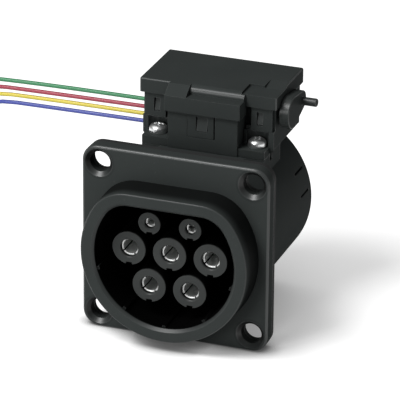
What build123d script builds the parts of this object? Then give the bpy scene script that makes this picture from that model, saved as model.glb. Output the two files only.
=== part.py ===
"""Charging socket with a locking actuator, for mounting in a panel.

All sizes are in millimetres. +Z is up, -Y is the side that the plug comes from, and the origin is the
centre of the flange's rear face, where the flange meets the panel.
"""

import math
import os

from build123d import *

# Flange and its panel gasket
flange_overhang = 4.7
flange_corner = 6.3
flange_thickness = 5.0
flange_edge_round = 1.2
hole_edge_distance = 6.7
mounting_hole = 8.0
countersink = 11.1
gasket_thickness = 2.5
gasket_inset = 0.1
gasket_hole_gap = 0.3

# Socket cavity: a circle with a flat top and rounded corners
socket_radius = 27.4
socket_flat = 19.7
socket_corner = 10.4
socket_depth = 49.0
collar_reach = 12.5
collar_wall = 5.1
collar_draft_angle = 2.0
rim_round = 0.6
rim_chamfer = 1.1
tunnel_wall = 2.1
carrier_seat = 0.9
rib_angles = (195.5, 234.5, 270.0, 305.5, 344.5)
rib_width = 1.2
rib_height = 1.0
rib_length = 16.0
rib_setback = 1.5

# Contacts and the insulating carrier that holds them
contact_pitch = 16.0
signal_height = 11.17
sleeve_setback = 7.25
sleeve_radius = 6.5
signal_sleeve_radius = 4.3
sleeve_mouth = 3.45
signal_sleeve_mouth = 1.95
mouth_length = 1.5
mouth_chamfer = 0.4
keyway_width = 2.4
keyway_depth = 0.9
carrier_thickness = 6.0
contact_radius = 4.0
contact_bore = 3.0
signal_contact_radius = 2.5
signal_contact_bore = 1.5
contact_wall_slot = 0.8
signal_wall_slot = 0.5
contact_bore_depth = 24.0
signal_bore_depth = 16.0
slot_share = 0.75
shoulder_height = 0.7
shoulder_length = 3.3
barrel_radius = 2.9
barrel_bore = 1.9
barrel_length = 12.0
signal_barrel_radius = 1.6
signal_barrel_bore = 0.9
signal_barrel_length = 8.0
retainer_thickness = 2.0
retainer_screw_drop = 4.7
retainer_screw_inset = 5.4
retainer_screw_radius = 1.25
retainer_screw_length = 4.5
retainer_head_radius = 2.5
retainer_head_height = 1.6
fit_gap = 0.1

# Rear housing and its cover
tube_gap = 0.2
tube_wall = 2.3
tube_end = 59.0
tower_rise = 3.2
saddle_wall = 2.4
lip_width = 3.5
lip_length = 1.7
latch_angles = (16.5, 163.5)
latch_half_angle = 8.25
latch_slot_width = 0.9
latch_slot_length = 9.0
latch_slot_end = 3.0
latch_arm_thickness = 1.2
latch_rib_width = 0.6
latch_rib_height = 1.3
rear_cover_thickness = 2.5
seal_radius = 20.8
seal_flange = 2.0
seal_flange_thickness = 3.0
seal_length = 7.0
wire_passage = 1.9
signal_passage = 1.0

# Locking bolt
bolt_depth = 28.2
bolt_radius = 2.5
bolt_travel = 5.0
bolt_setback = 0.5
bolt_block_width = 5.8
bolt_neck_length = 1.7
bolt_block_clearance = 0.2
bolt_block_height = 5.8
rack_strip_thickness = 1.7
running_gap = 0.05
tower_radius = 4.6
bolt_seal_radius = 3.9
switch_arm_reach = 8.5
switch_arm_overhang = 1.2
switch_arm_thickness = 1.9

# Actuator housing
motor_side_gap = 1.15
housing_setback = 2.2
motor_gap = 2.1
housing_wall = 1.5
housing_top_gap = 0.2
housing_chamfer = 2.2
nose_half_width = 13.8
nose_reach = 4.0
nose_drop = 4.8
ear_inner = 13.9
ear_outer = 24.3
ear_setback = 0.5
ear_thickness = 3.2
screw_spread = 19.7
screw_setback = 5.1
pocket_radius = 4.3
pocket_wall = 1.3
pocket_height = 5.7
groove_outer = 16.9
groove_run = 4.0
tongue_thickness = 1.3
tongue_lift = 0.4
tongue_inset = 0.7
catch_spread = 20.4
catch_width = 1.9
catch_rise = 2.1
catch_height = 4.8
catch_depth = 1.1
window_gap = 0.25
nose_tongue_left = -6.0
nose_tongue_right = 4.4
nose_tongue_rise = 2.3
nose_tongue_thickness = 1.0
nose_slit = 0.5
nose_catch_left = -2.35
nose_catch_right = 1.75
nose_catch_rise = 2.7
nose_catch_height = 5.4
screw_radius = 1.6
screw_length = 8.0
screw_head_radius = 3.5
screw_head_height = 3.4
screw_recess_width = 0.9
screw_recess_length = 4.2
screw_recess_depth = 1.3
pad_tail = 1.4
rail_gap = 2.2
rail_length = 9.6
rail_thickness = 2.0
rail_notch = 2.6

# Actuator cover
cover_side_wall = 1.0
roof_gap = 0.4
cover_wall = 0.9
skirt_height = 5.7
cover_roof = 1.9
cover_round = 0.8
cover_gap = 0.1
brow_wall = 1.0
brow_height = 6.1
brow_roof = 1.6
brow_riser_wall = 1.1
brow_shelf = 3.6
brow_step_round = 2.9
ramp_right = -6.5
ramp_lag = 0.6
low_corner_drop = 0.9
low_corner_left = 13.6
low_corner_step = 19.5
low_corner_run = 8.8
low_corner_step_run = 16.0

# Lock drive: a gear train between the motor and the toothed bolt, and the hand release on its shaft
rack_offset = 3.6
wheel_floor_gap = 0.815
shaft_radius = 1.5
shaft_left = -9.0
shaft_seat = 3.3
rack_module = 0.8
pinion_teeth = 16
pinion_width = 5.0
train_module = 0.5
wheel_teeth = 26
small_teeth = 10
train_width = 3.0
wheel_width = 2.5
gear_gap = 0.5
idler_angle = -40.0
motor_angle = 52.3
idler_axle_radius = 1.0
tooth_slope = 0.364
backlash = 0.16
addendum_share = 0.8
dedendum_share = 1.15
motor_shaft_radius = 0.75
motor_width = 12.0
motor_height = 10.0
motor_length = 12.0
frame_thickness = 1.6
frame_lead = 2.8
hub_radius = 6.1
lever_end_radius = 3.7
lever_reach = 10.7
lever_rise = 1.1
lever_thickness = 3.7
lever_clearance = 0.3
lever_edge_round = 0.4
peg_radius = 1.6
peg_length = 5.8
peg_inset = 0.7
boss_radius = 3.3
boss_reach = 1.2
shaft_seal_radius = 2.6

# Position switch and circuit board
switch_left = 4.5
switch_width = 6.0
switch_setback = 1.8
switch_length = 12.8
switch_height = 6.5
plunger_travel = 0.5
plunger_rise = 1.5
plunger_width = 2.0
plunger_setback = 3.0
board_setback = 6.45
board_thickness = 1.0
board_lead = 0.8
board_length = 8.3
board_lift = 0.4
board_height = 14.2

# Connecting wires of the motor and the switch
wire_radius = 0.8
grommet_side_gap = 0.4
wire_heights = {"green": 40.2, "red": 37.2, "yellow": 34.25, "blue": 31.3}
grommet_width = 4.0
grommet_height = 12.6
grommet_lip = 0.8
coil_centre_x = -116.0
coil_centre_y = 14.0
coil_radius = 9.0
coil_columns = 2
coil_layers = 3
ferrule_radius = 1.1
ferrule_collar = 4.0
ferrule_pin = 6.0
ferrule_pin_radius = 0.7
ferrule_start = 5.0

# Places worked out from the sizes above
tube_radius = socket_radius + tunnel_wall + tube_gap + tube_wall
flange_size = 2 * (tube_radius + flange_overhang)
hole_spacing = flange_size - 2 * hole_edge_distance
flange_face = -flange_thickness
rim_face = flange_face - collar_reach
socket_floor = rim_face + socket_depth
carrier_back = socket_floor + carrier_thickness
retainer_back = carrier_back + fit_gap + retainer_thickness
sleeve_face = rim_face + sleeve_setback
contact_face = sleeve_face + mouth_length + fit_gap
floor_height = -flange_size / 2
tunnel_top = socket_flat + tunnel_wall
retainer_screw_up = socket_flat - retainer_screw_drop
retainer_screw_down = retainer_screw_inset - socket_radius
saddle_height = tunnel_top + tower_rise + saddle_wall
housing_bottom = saddle_height + fit_gap
housing_floor = housing_bottom + housing_wall

# Gear train: from the rack on the bolt back to the motor, and from the housing's floor up to the shaft
pitch_radius = rack_module * pinion_teeth / 2
rack_line = bolt_depth + rack_offset
shaft_depth = rack_line + pitch_radius
train_centres = train_module * (wheel_teeth + small_teeth) / 2
wheel_tip = train_module * (wheel_teeth / 2 + addendum_share)
idler_depth = shaft_depth + train_centres * math.cos(math.radians(idler_angle))
idler_height = housing_floor + wheel_floor_gap + wheel_tip
shaft_height = idler_height - train_centres * math.sin(math.radians(idler_angle))
motor_depth = idler_depth + train_centres * math.cos(math.radians(motor_angle))
motor_axis_height = idler_height + train_centres * math.sin(math.radians(motor_angle))
train_right = -pinion_width / 2 - gear_gap
wheel_right = train_right - train_width - gear_gap - 0.2
frame_right = wheel_right - wheel_width - gear_gap
frame_left = frame_right - frame_thickness
housing_half_width = housing_wall + motor_side_gap - (frame_left - fit_gap - motor_length)
board_left = board_setback - housing_half_width

# Actuator's outside, from the bolt's place and the gear train
housing_front = bolt_depth + housing_setback
housing_back = motor_depth + motor_width / 2 + motor_gap + housing_wall
cover_ceiling = shaft_height + wheel_tip + roof_gap
cover_top = cover_ceiling + cover_roof
housing_top = cover_ceiling - housing_top_gap
nose_front = bolt_depth - nose_reach
nose_top = cover_top - nose_drop
ear_front = nose_front + ear_setback
ear_top = housing_bottom + ear_thickness
screw_depth = ear_front + screw_setback
pad_end = screw_depth + pad_tail
rail_start = pad_end + rail_gap
rail_end = rail_start + rail_length
pocket_top = ear_top + pocket_height
groove_depth = housing_front + groove_run
tongue_front = housing_front
tongue_back = tongue_front + tongue_thickness
tongue_bottom = pocket_top + tongue_lift
tongue_inner = groove_outer + fit_gap
tongue_outer = housing_half_width - tongue_inset
wall_front = tongue_back + fit_gap
catch_bottom = tongue_bottom + catch_rise
nose_tongue_bottom = ear_top + nose_tongue_rise
nose_catch_bottom = nose_tongue_bottom + nose_catch_rise
cover_half_width = housing_half_width + cover_gap + cover_side_wall
cover_front = housing_front - cover_wall
cover_back = housing_back + cover_gap + cover_side_wall
cover_skirt_bottom = cover_top - skirt_height
brow_half_width = nose_half_width + cover_gap + brow_wall
brow_front = nose_front - brow_wall
brow_top = nose_top + brow_roof
brow_bottom = brow_top - brow_height
brow_step_depth = nose_front + brow_shelf
ramp_end = brow_step_depth + ramp_lag
low_corner_front_depth = cover_front + low_corner_run
low_corner_back_depth = cover_front + low_corner_step_run
lever_left = cover_half_width + lever_clearance
shaft_right = lever_left + shaft_seat
bolt_rest_height = socket_flat + bolt_setback
bolt_block_bottom = housing_floor + bolt_travel + bolt_block_clearance
bolt_round_top = bolt_block_bottom - bolt_neck_length
bolt_block_top = bolt_block_bottom + bolt_block_height
switch_front = bolt_depth + switch_setback
wire_depth = wall_front + housing_wall + grommet_side_gap + grommet_lip + grommet_width / 2
board_front = wire_depth - board_lead
board_back = board_front + board_length
board_bottom = housing_floor + board_lift
board_top = board_bottom + board_height
plunger_depth = switch_front + plunger_setback
plunger_place = switch_left + switch_width / 2
switch_arm_depth = plunger_depth + switch_arm_overhang
power_places = {
    "earth": (0.0, 0.0),
    "neutral": (-contact_pitch, 0.0),
    "line_1": (contact_pitch, 0.0),
    "line_2": (-contact_pitch / 2, -contact_pitch * math.sqrt(3) / 2),
    "line_3": (contact_pitch / 2, -contact_pitch * math.sqrt(3) / 2),
}
signal_places = {
    "pilot": (-contact_pitch / 2, signal_height),
    "proximity": (contact_pitch / 2, signal_height),
}


def depth_plane(depth):
    """Upright plane at a depth behind the flange's rear face; its normal points to the plug's side."""
    return Plane.XZ.offset(-depth)


def socket_outline(sketch, growth):
    """The cavity's outline, grown outward: a circle cut by a flat top, with rounded corners."""
    Circle(socket_radius + growth)
    with Locations((0, socket_flat + growth)):
        Rectangle(4 * socket_radius, 2 * socket_radius, align=(Align.CENTER, Align.MIN), mode=Mode.SUBTRACT)
    fillet(sketch.vertices(), socket_corner + growth)


def flat_topped_circle(radius, flat):
    """A circle cut by a straight line above its centre."""
    Circle(radius)
    with Locations((0, flat)):
        Rectangle(4 * radius, 2 * radius, align=(Align.CENTER, Align.MIN), mode=Mode.SUBTRACT)


def upright_block(left, right, front, back, bottom, top, mode=Mode.ADD):
    """A box between two places along each axis."""
    with Locations(((left + right) / 2, (front + back) / 2, (bottom + top) / 2)):
        Box(right - left, back - front, top - bottom, mode=mode)


def gear_outline(teeth, module, first_angle):
    """A spur gear's outline: a root circle with straight-sided teeth, the first at first_angle."""
    pitch = teeth * module / 2
    root = pitch - dedendum_share * module
    tip = pitch + addendum_share * module
    half = (math.pi * module / 2 - backlash) / 2
    base = root - 0.2 * module
    root_half = half + (pitch - root) * tooth_slope * 0.5
    tip_half = half - (tip - pitch) * tooth_slope
    Circle(root)
    with PolarLocations(0, teeth, start_angle=first_angle):
        Polygon((base, -root_half), (pitch, -half), (tip, -tip_half),
                (tip, tip_half), (pitch, half), (base, root_half), align=None)


os.makedirs("parts", exist_ok=True)
pieces = {}

# Flange plate, round the socket's walls and behind its collar
with BuildPart() as flange_plate:
    with BuildSketch(depth_plane(0)):
        RectangleRounded(flange_size, flange_size, flange_corner)
    extrude(amount=flange_thickness)
    fillet(flange_plate.faces().sort_by(Axis.Y)[0].edges(), flange_edge_round)
    with BuildSketch(depth_plane(flange_face)) as plate_opening:
        socket_outline(plate_opening, tunnel_wall + fit_gap)
    extrude(amount=-flange_thickness, mode=Mode.SUBTRACT)
    with Locations(depth_plane(flange_face)):
        with GridLocations(hole_spacing, hole_spacing, 2, 2):
            CounterSinkHole(mounting_hole / 2, countersink / 2, flange_thickness, 90)
pieces["flange_plate"] = flange_plate

# Socket shell: collar on the flange's front, cavity walls and bolt tower in one moulding
with BuildPart() as socket_shell:
    collar_growth = collar_wall + collar_reach * math.tan(math.radians(collar_draft_angle))
    with BuildSketch(depth_plane(flange_face)) as collar_outline:
        socket_outline(collar_outline, collar_growth)
    extrude(amount=collar_reach, taper=collar_draft_angle)
    with BuildSketch(depth_plane(flange_face)) as tunnel_outline:
        socket_outline(tunnel_outline, tunnel_wall)
    extrude(amount=-(carrier_back + fit_gap - flange_face))
    tower_top = saddle_height - saddle_wall - fit_gap
    with BuildSketch(Plane.XY.offset(tower_top)):
        with Locations((0, bolt_depth)):
            Circle(tower_radius)
    extrude(amount=-(tower_top - socket_flat - tunnel_wall / 2))
    with BuildSketch(depth_plane(rim_face)) as cavity_outline:
        socket_outline(cavity_outline, 0)
    extrude(amount=-socket_depth, mode=Mode.SUBTRACT)
    with BuildSketch(depth_plane(socket_floor)) as seat_outline:
        socket_outline(seat_outline, carrier_seat)
    extrude(amount=-(carrier_thickness + 1), mode=Mode.SUBTRACT)
    rim = socket_shell.faces().sort_by(Axis.Y)[0]
    fillet(rim.outer_wire().edges(), rim_round)
    rim = socket_shell.faces().sort_by(Axis.Y)[0]
    chamfer(rim.inner_wires()[0].edges(), rim_chamfer)
    with BuildSketch(depth_plane(rim_face + rib_setback)):
        for angle in rib_angles:
            with PolarLocations(socket_radius, 1, start_angle=angle):
                Rectangle(2 * rib_height, rib_width)
    extrude(amount=-rib_length)
    with BuildSketch(Plane.XY.offset(tower_top)):
        with Locations((0, bolt_depth)):
            Circle(bolt_radius + running_gap)
    extrude(amount=-(tower_top - socket_flat + socket_corner / 2), mode=Mode.SUBTRACT)
pieces["socket_shell"] = socket_shell

# Panel gasket behind the flange
with BuildPart() as panel_gasket:
    with BuildSketch(depth_plane(0)):
        gasket_size = flange_size - 2 * gasket_inset
        RectangleRounded(gasket_size, gasket_size, flange_corner - gasket_inset)
        Circle(tube_radius + gasket_hole_gap, mode=Mode.SUBTRACT)
        with GridLocations(hole_spacing, hole_spacing, 2, 2):
            Circle(mounting_hole / 2 + gasket_hole_gap, mode=Mode.SUBTRACT)
    extrude(amount=-gasket_thickness)
pieces["panel_gasket"] = panel_gasket

# Contact carrier: the plate that closes the cavity's rear and holds the contacts' shoulders
contact_sizes = (
    (power_places, sleeve_radius, sleeve_mouth, contact_radius),
    (signal_places, signal_sleeve_radius, signal_sleeve_mouth, signal_contact_radius),
)
carrier_front = socket_floor + fit_gap
with BuildPart() as contact_carrier:
    with BuildSketch(depth_plane(carrier_front)) as base_outline:
        socket_outline(base_outline, carrier_seat - fit_gap)
    extrude(amount=-(carrier_back - carrier_front))
    for places, outer, mouth, body in contact_sizes:
        with BuildSketch(depth_plane(carrier_front)):
            with Locations(*places.values()):
                Circle(body + fit_gap)
        extrude(amount=-(carrier_back - carrier_front), mode=Mode.SUBTRACT)
        with BuildSketch(depth_plane(carrier_back)):
            with Locations(*places.values()):
                Circle(body + shoulder_height + fit_gap)
        extrude(amount=shoulder_length + fit_gap, mode=Mode.SUBTRACT)
    with BuildSketch(depth_plane(carrier_back)):
        with Locations((0, retainer_screw_up), (0, retainer_screw_down)):
            Circle(retainer_screw_radius + fit_gap / 2)
    extrude(amount=retainer_screw_length, mode=Mode.SUBTRACT)
pieces["contact_carrier"] = contact_carrier

# Insulating sleeves round the contacts, each with a chamfered mouth and a keyway under it
with BuildPart() as contact_sleeves:
    for places, outer, mouth, body in contact_sizes:
        with BuildSketch(depth_plane(sleeve_face)):
            with Locations(*places.values()):
                Circle(outer)
            with Locations(*[(x, z - outer) for x, z in places.values()]):
                Rectangle(keyway_width, 2 * keyway_depth, mode=Mode.SUBTRACT)
        extrude(amount=-(carrier_front - sleeve_face))
    for places, outer, mouth, body in contact_sizes:
        with BuildSketch(depth_plane(sleeve_face)):
            with Locations(*places.values()):
                Circle(mouth)
        extrude(amount=-mouth_length, mode=Mode.SUBTRACT)
        with BuildSketch(depth_plane(sleeve_face + mouth_length)):
            with Locations(*places.values()):
                Circle(body + fit_gap)
        extrude(amount=-(carrier_front - sleeve_face), mode=Mode.SUBTRACT)
    mouths = contact_sleeves.edges().filter_by(GeomType.CIRCLE).group_by(Axis.Y)[0]
    chamfer(mouths.filter_by(lambda edge: edge.radius < signal_sleeve_radius - mouth_chamfer), mouth_chamfer)
pieces["contact_sleeves"] = contact_sleeves


def build_contact(place, outer, bore, bore_depth, slot, barrel, barrel_hole, barrel_reach):
    """A turned socket contact: slotted tube for the pin, shoulder, and a hollow barrel for the wire."""
    with BuildPart() as contact:
        with BuildSketch(depth_plane(contact_face)):
            with Locations(place):
                Circle(outer)
        extrude(amount=-(carrier_back - contact_face))
        with BuildSketch(depth_plane(carrier_back)):
            with Locations(place):
                Circle(outer + shoulder_height)
        extrude(amount=shoulder_length)
        with BuildSketch(depth_plane(carrier_back)):
            with Locations(place):
                Circle(barrel)
        extrude(amount=-(fit_gap + retainer_thickness + barrel_reach))
        with BuildSketch(depth_plane(contact_face)):
            with Locations(place):
                Circle(bore)
        extrude(amount=-bore_depth, mode=Mode.SUBTRACT)
        with BuildSketch(depth_plane(contact_face)):
            with Locations(place):
                with PolarLocations(0, 2, start_angle=35, angular_range=180):
                    Rectangle(4 * outer, slot)
        extrude(amount=-bore_depth * slot_share, mode=Mode.SUBTRACT)
        with BuildSketch(depth_plane(retainer_back + barrel_reach)):
            with Locations(place):
                Circle(barrel_hole)
        extrude(amount=barrel_reach - 1, mode=Mode.SUBTRACT)
    return contact


for name, place in power_places.items():
    pieces[f"contact_{name}"] = build_contact(
        place, contact_radius, contact_bore, contact_bore_depth, contact_wall_slot,
        barrel_radius, barrel_bore, barrel_length)
for name, place in signal_places.items():
    pieces[f"contact_{name}"] = build_contact(
        place, signal_contact_radius, signal_contact_bore, signal_bore_depth, signal_wall_slot,
        signal_barrel_radius, signal_barrel_bore, signal_barrel_length)

# Retainer plate behind the carrier, and its two screws
with BuildPart() as contact_retainer:
    with BuildSketch(depth_plane(carrier_back + fit_gap)) as plate_outline:
        socket_outline(plate_outline, carrier_seat - fit_gap)
        with Locations(*power_places.values()):
            Circle(barrel_radius + fit_gap, mode=Mode.SUBTRACT)
        with Locations(*signal_places.values()):
            Circle(signal_barrel_radius + fit_gap, mode=Mode.SUBTRACT)
        with Locations((0, retainer_screw_up), (0, retainer_screw_down)):
            Circle(retainer_screw_radius + fit_gap, mode=Mode.SUBTRACT)
    extrude(amount=-retainer_thickness)
pieces["contact_retainer"] = contact_retainer

with BuildPart() as retainer_screws:
    with BuildSketch(depth_plane(retainer_back)):
        with Locations((0, retainer_screw_up), (0, retainer_screw_down)):
            Circle(retainer_screw_radius)
    extrude(amount=retainer_thickness + retainer_screw_length)
    with BuildSketch(depth_plane(retainer_back)):
        with Locations((0, retainer_screw_up), (0, retainer_screw_down)):
            Circle(retainer_head_radius)
    extrude(amount=-retainer_head_height)
    with BuildSketch(depth_plane(retainer_back + retainer_head_height)):
        with Locations((0, retainer_screw_up), (0, retainer_screw_down)):
            Rectangle(2 * retainer_head_radius, retainer_screw_radius / 2)
    extrude(amount=retainer_head_height / 2, mode=Mode.SUBTRACT)
pieces["retainer_screws"] = retainer_screws

# Rear housing: tube over the cavity walls, flat saddle for the actuator, pads under its ears
with BuildPart() as rear_housing:
    with BuildSketch(depth_plane(fit_gap)):
        flat_topped_circle(tube_radius, saddle_height)
    extrude(amount=-(tube_end - fit_gap))
    for side in (-1, 1):
        inner, outer = sorted((side * ear_inner, side * ear_outer))
        upright_block(inner, outer, ear_front, pad_end, 0, saddle_height)
        inner, outer = sorted((side * (ear_outer - rail_thickness), side * ear_outer))
        upright_block(inner, outer, rail_start, rail_end, 0, saddle_height)
        upright_block(inner, outer, pad_end - fit_gap, rail_start + fit_gap, 0, saddle_height - rail_notch)
    with BuildSketch(depth_plane(0)):
        flat_topped_circle(tube_radius - tube_wall, saddle_height - saddle_wall)
    extrude(amount=-(tube_end + 1), mode=Mode.SUBTRACT)
    with BuildSketch(depth_plane(retainer_back + fit_gap)):
        flat_topped_circle(tube_radius - tube_wall, saddle_height - saddle_wall)
        flat_topped_circle_inset = tube_radius - tube_wall - lip_width
        Circle(flat_topped_circle_inset, mode=Mode.SUBTRACT)
    extrude(amount=-lip_length)
    with BuildSketch(Plane.XY.offset(saddle_height)):
        with Locations((0, bolt_depth)):
            Circle(bolt_seal_radius)
    extrude(amount=-2 * saddle_wall, mode=Mode.SUBTRACT)
    with BuildSketch(Plane.XY.offset(saddle_height)):
        with Locations((-screw_spread, screw_depth), (screw_spread, screw_depth)):
            Circle(screw_radius)
    extrude(amount=-(screw_length - (ear_top - saddle_height)), mode=Mode.SUBTRACT)
    with BuildSketch(depth_plane(tube_end - latch_slot_end)):
        for angle in latch_angles:
            for turn in (-latch_half_angle, latch_half_angle):
                with PolarLocations(tube_radius, 1, start_angle=angle + turn):
                    Rectangle(4 * tube_wall, latch_slot_width)
    extrude(amount=latch_slot_length, mode=Mode.SUBTRACT)
pieces["rear_housing"] = rear_housing

# Rear cover with latch arms, and the rubber wire seal in it
cover_inner_face = tube_end - rear_cover_thickness
with BuildPart() as rear_cover:
    with BuildSketch(depth_plane(cover_inner_face)):
        flat_topped_circle(tube_radius - tube_wall - fit_gap, saddle_height - saddle_wall - fit_gap)
        Circle(seal_radius + fit_gap, mode=Mode.SUBTRACT)
    extrude(amount=-rear_cover_thickness)
    arm_outer = tube_radius - tube_wall - 2 * fit_gap
    for angle in latch_angles:
        with BuildSketch(depth_plane(cover_inner_face)):
            Circle(arm_outer)
            Circle(arm_outer - latch_arm_thickness, mode=Mode.SUBTRACT)
            sweep_angle = math.radians(1.4 * latch_half_angle)
            reach = 2 * tube_radius
            with PolarLocations(0, 1, start_angle=angle):
                Polygon((0, 0), (reach, -reach * math.tan(sweep_angle)),
                        (reach, reach * math.tan(sweep_angle)), align=None, mode=Mode.INTERSECT)
        extrude(amount=latch_slot_length)
        with BuildSketch(depth_plane(tube_end - latch_slot_end - fit_gap)):
            for turn in (-latch_half_angle, latch_half_angle):
                with PolarLocations(arm_outer - latch_arm_thickness / 2, 1, start_angle=angle + turn):
                    Rectangle(latch_arm_thickness + 2 * latch_rib_height, latch_rib_width)
        extrude(amount=latch_slot_length - 2 * fit_gap)
pieces["rear_cover"] = rear_cover

with BuildPart() as wire_seal:
    with BuildSketch(depth_plane(cover_inner_face - fit_gap)):
        Circle(seal_radius + seal_flange)
    extrude(amount=seal_flange_thickness)
    with BuildSketch(depth_plane(cover_inner_face - fit_gap - seal_flange_thickness)):
        Circle(seal_radius)
    extrude(amount=-seal_length)
    with BuildSketch(depth_plane(tube_end + seal_length)):
        with Locations(*power_places.values()):
            Circle(wire_passage)
        with Locations(*signal_places.values()):
            Circle(signal_passage)
    extrude(amount=3 * seal_length, mode=Mode.SUBTRACT)
pieces["wire_seal"] = wire_seal

# Actuator housing: tray with a nose over the bolt, two ears and the catches for the cover
with BuildPart() as actuator_housing:
    upright_block(-housing_half_width, housing_half_width, housing_front, housing_back,
                  housing_bottom, housing_top)
    long_edges = actuator_housing.edges().filter_by(Axis.Y).group_by(Axis.Z)[0]
    chamfer(long_edges, housing_chamfer)
    for side in (-1, 1):
        inner, outer = sorted((side * nose_half_width, side * (housing_half_width + 1)))
        upright_block(inner, outer, 0, wall_front, tongue_bottom - fit_gap, housing_top + 1, Mode.SUBTRACT)
    upright_block(-nose_half_width, nose_half_width, nose_front, housing_front + 1, housing_bottom, nose_top)
    for side in (-1, 1):
        inner, outer = sorted((side * nose_half_width, side * ear_outer))
        upright_block(inner, outer, ear_front, housing_front + 1, housing_bottom, ear_top)
        inner, outer = sorted((side * nose_half_width, side * groove_outer))
        upright_block(inner, outer, 0, groove_depth, ear_top, housing_top + 1, Mode.SUBTRACT)
    with BuildSketch(Plane.XY.offset(ear_top)):
        with Locations((-screw_spread, screw_depth), (screw_spread, screw_depth)):
            Circle(pocket_radius)
            Rectangle(2 * pocket_radius, 2 * pocket_radius, align=(Align.CENTER, Align.MAX))
    extrude(amount=pocket_top - ear_top, mode=Mode.SUBTRACT)
    with BuildSketch(Plane.XY.offset(housing_floor)) as inside_outline:
        inner_half = housing_half_width - housing_wall
        inner_front = wall_front + housing_wall
        inner_back = housing_back - housing_wall
        with Locations((0, (inner_front + inner_back) / 2)):
            Rectangle(2 * inner_half, inner_back - inner_front)
        nose_inner_half = nose_half_width - housing_wall
        nose_inner_front = nose_front + nose_tongue_thickness + fit_gap + housing_wall - 0.3
        with Locations((0, (nose_inner_front + inner_front + 1) / 2)):
            Rectangle(2 * nose_inner_half, inner_front + 1 - nose_inner_front)
        for side in (-1, 1):
            with Locations((side * (nose_inner_half + groove_outer + housing_wall) / 2, 0)):
                Rectangle(groove_outer + housing_wall - nose_inner_half, groove_depth + housing_wall,
                          align=(Align.CENTER, Align.MIN), mode=Mode.SUBTRACT)
    extrude(amount=housing_top, mode=Mode.SUBTRACT)
    with BuildSketch(Plane.XY.offset(housing_floor)):
        with Locations((-screw_spread, screw_depth), (screw_spread, screw_depth)):
            Circle(pocket_radius + pocket_wall)
            Circle(pocket_radius, mode=Mode.SUBTRACT)
        with Locations((0, housing_front)):
            Rectangle(4 * housing_half_width, housing_half_width, align=(Align.CENTER, Align.MAX),
                      mode=Mode.SUBTRACT)
    extrude(amount=pocket_top - housing_floor)
    with BuildSketch(Plane.XY.offset(pocket_top)):
        with Locations((-screw_spread, screw_depth), (screw_spread, screw_depth)):
            Circle(pocket_radius + pocket_wall)
        with Locations((0, wall_front)):
            Rectangle(4 * housing_half_width, housing_half_width, align=(Align.CENTER, Align.MAX),
                      mode=Mode.SUBTRACT)
    extrude(amount=pocket_wall)
    with BuildSketch(Plane.XY.offset(ear_top)):
        with Locations((-screw_spread, screw_depth), (screw_spread, screw_depth)):
            Circle(screw_radius + fit_gap)
    extrude(amount=-housing_top, mode=Mode.SUBTRACT)
    with BuildSketch(Plane.XY.offset(housing_floor)):
        with Locations((0, bolt_depth)):
            Circle(bolt_radius + running_gap)
    extrude(amount=bolt_round_top - housing_floor + fit_gap, both=True, mode=Mode.SUBTRACT)
    upright_block(nose_tongue_left - fit_gap, nose_tongue_right + nose_slit, 0,
                  nose_front + nose_tongue_thickness + fit_gap, nose_tongue_bottom - fit_gap, housing_top,
                  Mode.SUBTRACT)
    for side in (-1, 1):
        with BuildSketch(Plane.YZ.offset(side * catch_spread - catch_width / 2)):
            Polygon((wall_front, catch_bottom), (wall_front - catch_depth, catch_bottom),
                    (wall_front, catch_bottom + catch_height), align=None)
        extrude(amount=catch_width)
    with BuildSketch(Plane.YZ.offset(nose_catch_left)):
        recess_face = nose_front + nose_tongue_thickness + fit_gap
        Polygon((recess_face, nose_catch_bottom), (recess_face - catch_depth, nose_catch_bottom),
                (recess_face, nose_catch_bottom + nose_catch_height), align=None)
    extrude(amount=nose_catch_right - nose_catch_left)
    with BuildSketch(Plane.YZ.offset(housing_half_width)):
        with Locations((shaft_depth, shaft_height)):
            Circle(boss_radius)
    extrude(amount=boss_reach)
    with BuildSketch(Plane.YZ.offset(inner_half - 1)):
        with Locations((shaft_depth, shaft_height)):
            Circle(shaft_radius + running_gap)
    extrude(amount=2 * housing_wall + boss_reach, mode=Mode.SUBTRACT)
    with BuildSketch(Plane.YZ.offset(housing_half_width)):
        with Locations((shaft_depth, shaft_height)):
            Circle(shaft_seal_radius)
    extrude(amount=boss_reach + 1, mode=Mode.SUBTRACT)
    wire_middle = (wire_heights["green"] + wire_heights["blue"]) / 2
    with BuildSketch(Plane.YZ.offset(-housing_half_width - 1)):
        with Locations((wire_depth, wire_middle)):
            RectangleRounded(grommet_width, grommet_height, grommet_width / 3)
    extrude(amount=housing_wall + 1.5, mode=Mode.SUBTRACT)
pieces["actuator_housing"] = actuator_housing

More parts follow.
